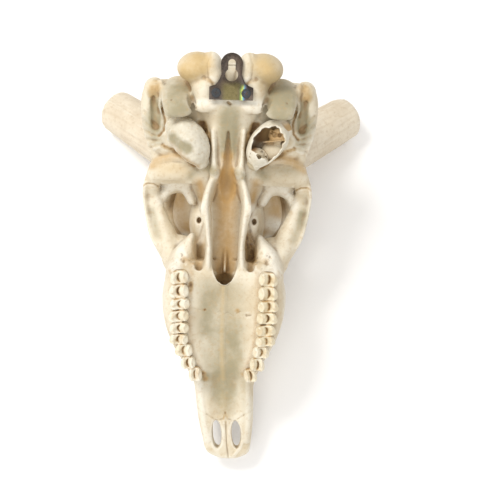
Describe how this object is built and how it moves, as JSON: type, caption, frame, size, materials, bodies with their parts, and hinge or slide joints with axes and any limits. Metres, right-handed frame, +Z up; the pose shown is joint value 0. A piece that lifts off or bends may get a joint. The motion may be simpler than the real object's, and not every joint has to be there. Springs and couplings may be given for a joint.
{
  "type": "kudu skull",
  "caption": "Life-size antelope skull without lower jaw, horn cores sawn short, lying palate up, with a small screwed hanger plate at the back.",
  "frame": {"origin": "bottom centre of the bounding box, on the surface it lies on", "axes": "+X to the animal's right, +Y towards the back of the head, +Z up"},
  "size_m": [0.267, 0.3745, 0.2073],
  "materials": {
    "bone": "dry cleaned bone, cream with tan stains, satin",
    "ear_bone": "smooth thin bone of the ear capsule, pale grey cream",
    "horn_core": "fine-grained horn core, matt tan",
    "plate": "yellow-passivated zinc plate with an iridescent sheen",
    "screw": "black oxide"
  },
  "bodies": {
    "root": {"cranium": "bone", "upper_jaw": "bone", "premaxilla_left": "bone", "premaxilla_right": "bone", "nasals": "bone", "zygomatic_arch_left": "bone", "zygomatic_arch_right": "bone", "bulla_left": "ear_bone", "bulla_right": "ear_bone", "horn_core_left": "horn_core", "horn_core_right": "horn_core", "hanger_plate": "plate", "hanger_screw_left": "screw", "hanger_screw_right": "screw"}
  },
  "joints": []
}
